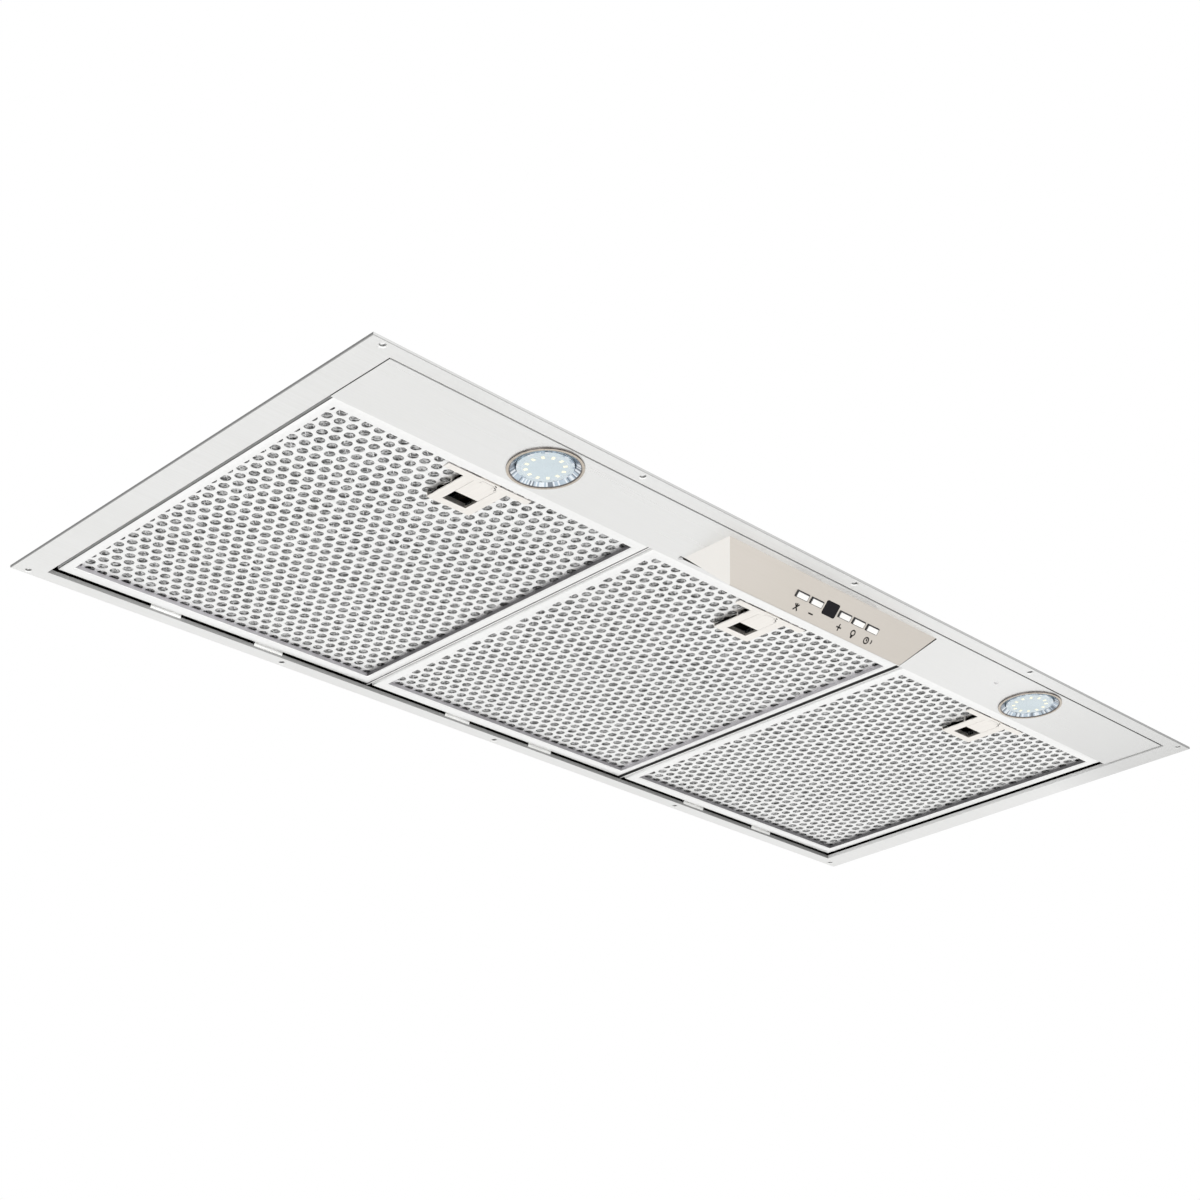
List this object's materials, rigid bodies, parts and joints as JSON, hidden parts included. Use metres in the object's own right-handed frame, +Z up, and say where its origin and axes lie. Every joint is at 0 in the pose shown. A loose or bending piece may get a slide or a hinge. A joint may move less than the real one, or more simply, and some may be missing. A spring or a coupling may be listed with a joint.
{
  "type": "range hood insert",
  "caption": "Undermount range hood insert with a flanged steel face, sprung filter cassettes, round lamps, a hanging control wedge and a ducted blower.",
  "frame": {"origin": "centre of the corner screw holes, in the plane where the folded rim of the flange meets the cabinet", "axes": "+X along the front to the right as seen from the front, +Y to the rear, +Z up into the cabinet and the duct"},
  "size_m": [1.17, 0.505, 0.3709],
  "materials": {
    "brushed_steel": "brushed",
    "filter_steel": "satin",
    "galvanised_steel": "spangled satin",
    "spring_steel": "bright",
    "mesh_aluminium": "woven satin",
    "lamp_chrome": "polished",
    "lamp_lens": "frosted",
    "lamp_housing": "satin",
    "button_metal": "satin",
    "display_glass": "polished",
    "board_green": "satin",
    "black_plastic": "moulded",
    "wheel_grey": "moulded",
    "motor_grey": "satin",
    "shaft_steel": "ground",
    "capacitor_white": "smooth"
  },
  "bodies": {
    "hood_body": {"flange_frame": "brushed_steel", "canopy_shell": "galvanised_steel", "blower_box": "galvanised_steel", "light_panel": "brushed_steel", "wiring_cover": "galvanised_steel", "divider_rails": "galvanised_steel", "filter_rest_clips": "spring_steel", "lamp_trim_left": "lamp_chrome", "lamp_trim_right": "lamp_chrome", "lamp_disc_left": "lamp_lens", "lamp_disc_right": "lamp_lens", "lamp_body_left": "lamp_housing", "lamp_body_right": "lamp_housing", "lamp_sockets": "black_plastic", "control_housing": "brushed_steel", "display_window": "display_glass", "control_board": "board_green", "scroll_housing": "galvanised_steel", "inlet_ring_left": "galvanised_steel", "inlet_ring_right": "galvanised_steel", "motor": "motor_grey", "motor_bracket": "galvanised_steel", "capacitor": "capacitor_white", "capacitor_clamp": "galvanised_steel", "outlet_collar": "black_plastic", "damper_pin": "spring_steel", "junction_box": "galvanised_steel", "junction_cover": "galvanised_steel", "cable_gland": "black_plastic", "body_screws": "spring_steel"},
    "filter_left": {"filter_frame_left": "filter_steel", "filter_skin_left": "filter_steel", "filter_mesh_left": "mesh_aluminium", "filter_back_left": "filter_steel", "latch_plate_left": "filter_steel", "latch_spring_left": "spring_steel"},
    "latch_left": {"latch_slider_left": "filter_steel"},
    "filter_middle": {"filter_frame_middle": "filter_steel", "filter_skin_middle": "filter_steel", "filter_mesh_middle": "mesh_aluminium", "filter_back_middle": "filter_steel", "latch_plate_middle": "filter_steel", "latch_spring_middle": "spring_steel"},
    "latch_middle": {"latch_slider_middle": "filter_steel"},
    "filter_right": {"filter_frame_right": "filter_steel", "filter_skin_right": "filter_steel", "filter_mesh_right": "mesh_aluminium", "filter_back_right": "filter_steel", "latch_plate_right": "filter_steel", "latch_spring_right": "spring_steel"},
    "latch_right": {"latch_slider_right": "filter_steel"},
    "button_power": {"button_power": "button_metal"},
    "button_minus": {"button_minus": "button_metal"},
    "button_plus": {"button_plus": "button_metal"},
    "button_light": {"button_light": "button_metal"},
    "button_timer": {"button_timer": "button_metal"},
    "impeller": {"impeller": "wheel_grey", "motor_shaft": "shaft_steel"},
    "damper_left": {"damper_flap_left": "black_plastic"},
    "damper_right": {"damper_flap_right": "black_plastic"}
  },
  "joints": [
    {"name": "filter_left_swing", "type": "hinge", "parent": "hood_body", "child": "filter_left", "pos_m": [-0.3693, 0.2351, 0.00475], "axis": [1, 0, 0], "range_deg": [0, 55]},
    {"name": "filter_middle_swing", "type": "hinge", "parent": "hood_body", "child": "filter_middle", "pos_m": [-0.0019, 0.2351, 0.00475], "axis": [1, 0, 0], "range_deg": [0, 55]},
    {"name": "filter_right_swing", "type": "hinge", "parent": "hood_body", "child": "filter_right", "pos_m": [0.3669, 0.2351, 0.00475], "axis": [1, 0, 0], "range_deg": [0, 55]},
    {"name": "latch_left_slide", "type": "slide", "parent": "filter_left", "child": "latch_left", "axis": [0, 1, 0], "range_m": [0, 0.0036], "stiffness_N_per_m": 1200, "springref_m": -0.002, "deforming": ["latch_spring_left"]},
    {"name": "latch_middle_slide", "type": "slide", "parent": "filter_middle", "child": "latch_middle", "axis": [0, 1, 0], "range_m": [0, 0.0036], "stiffness_N_per_m": 1200, "springref_m": -0.002, "deforming": ["latch_spring_middle"]},
    {"name": "latch_right_slide", "type": "slide", "parent": "filter_right", "child": "latch_right", "axis": [0, 1, 0], "range_m": [0, 0.0036], "stiffness_N_per_m": 1200, "springref_m": -0.002, "deforming": ["latch_spring_right"]},
    {"name": "button_power_press", "type": "slide", "parent": "hood_body", "child": "button_power", "axis": [0, 0.7256, 0.6881], "range_m": [0, 0.0015], "stiffness_N_per_m": 600, "springref_m": -0.0005},
    {"name": "button_minus_press", "type": "slide", "parent": "hood_body", "child": "button_minus", "axis": [0, 0.7256, 0.6881], "range_m": [0, 0.0015], "stiffness_N_per_m": 600, "springref_m": -0.0005},
    {"name": "button_plus_press", "type": "slide", "parent": "hood_body", "child": "button_plus", "axis": [0, 0.7256, 0.6881], "range_m": [0, 0.0015], "stiffness_N_per_m": 600, "springref_m": -0.0005},
    {"name": "button_light_press", "type": "slide", "parent": "hood_body", "child": "button_light", "axis": [0, 0.7256, 0.6881], "range_m": [0, 0.0015], "stiffness_N_per_m": 600, "springref_m": -0.0005},
    {"name": "button_timer_press", "type": "slide", "parent": "hood_body", "child": "button_timer", "axis": [0, 0.7256, 0.6881], "range_m": [0, 0.0015], "stiffness_N_per_m": 600, "springref_m": -0.0005},
    {"name": "impeller_spin", "type": "hinge", "parent": "hood_body", "child": "impeller", "pos_m": [0, -0.014, 0.175], "axis": [1, 0, 0], "continuous": true},
    {"name": "damper_left_swing", "type": "hinge", "parent": "hood_body", "child": "damper_left", "pos_m": [0, 0.0585, 0.3092], "axis": [0, 1, 0], "range_deg": [0, 80]},
    {"name": "damper_right_swing", "type": "hinge", "parent": "hood_body", "child": "damper_right", "pos_m": [0, 0.0585, 0.3092], "axis": [0, -1, 0], "range_deg": [0, 80]}
  ]
}
